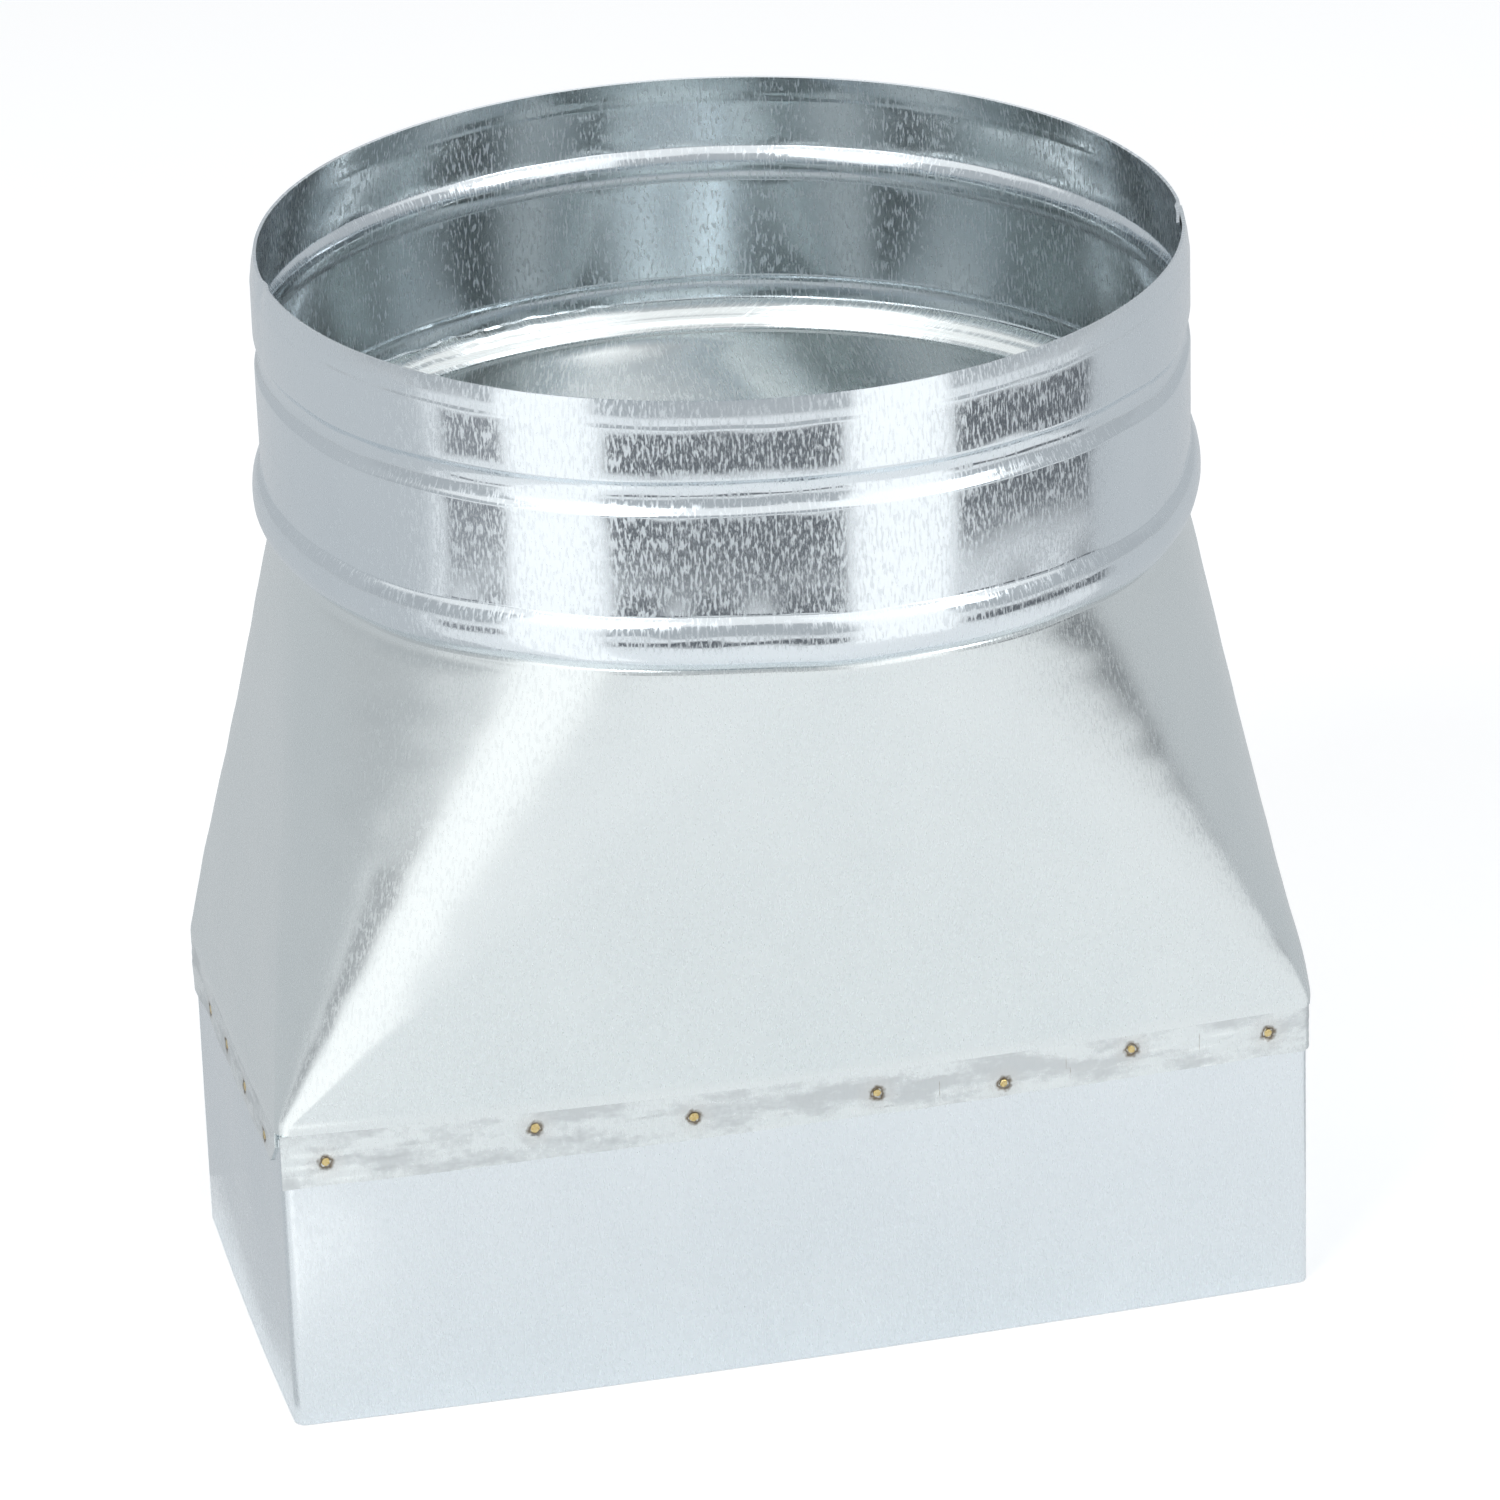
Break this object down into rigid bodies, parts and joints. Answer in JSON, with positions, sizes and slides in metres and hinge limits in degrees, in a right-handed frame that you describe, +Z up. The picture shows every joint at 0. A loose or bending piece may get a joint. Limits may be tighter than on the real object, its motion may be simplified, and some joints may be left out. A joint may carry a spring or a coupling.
{
  "type": "flat duct adapter",
  "caption": "Galvanised sheet adapter from a flat rectangular ventilation duct to a round one, with a beaded collar, a square-to-round body and a spot-welded sleeve",
  "frame": {"origin": "centre of the sleeve's open lower edge, on the surface that the object stands on", "axes": "+X along the long side of the rectangular sleeve, +Y across it towards the back wall, +Z up to the round collar; the long front wall faces -Y"},
  "size_m": [0.2064, 0.182, 0.2169],
  "materials": {
    "zinc_collar": "bright galvanised sheet with fine upright streaks and speckle",
    "zinc_body": "bright galvanised sheet with grey smears along the skirt",
    "zinc_sleeve": "satin galvanised sheet, slightly bluish",
    "copper_marks": "dull copper coloured spot weld marks"
  },
  "bodies": {
    "root": {"round_collar": "zinc_collar", "transition": "zinc_body", "rectangular_sleeve": "zinc_sleeve", "weld_marks": "copper_marks"}
  },
  "joints": []
}
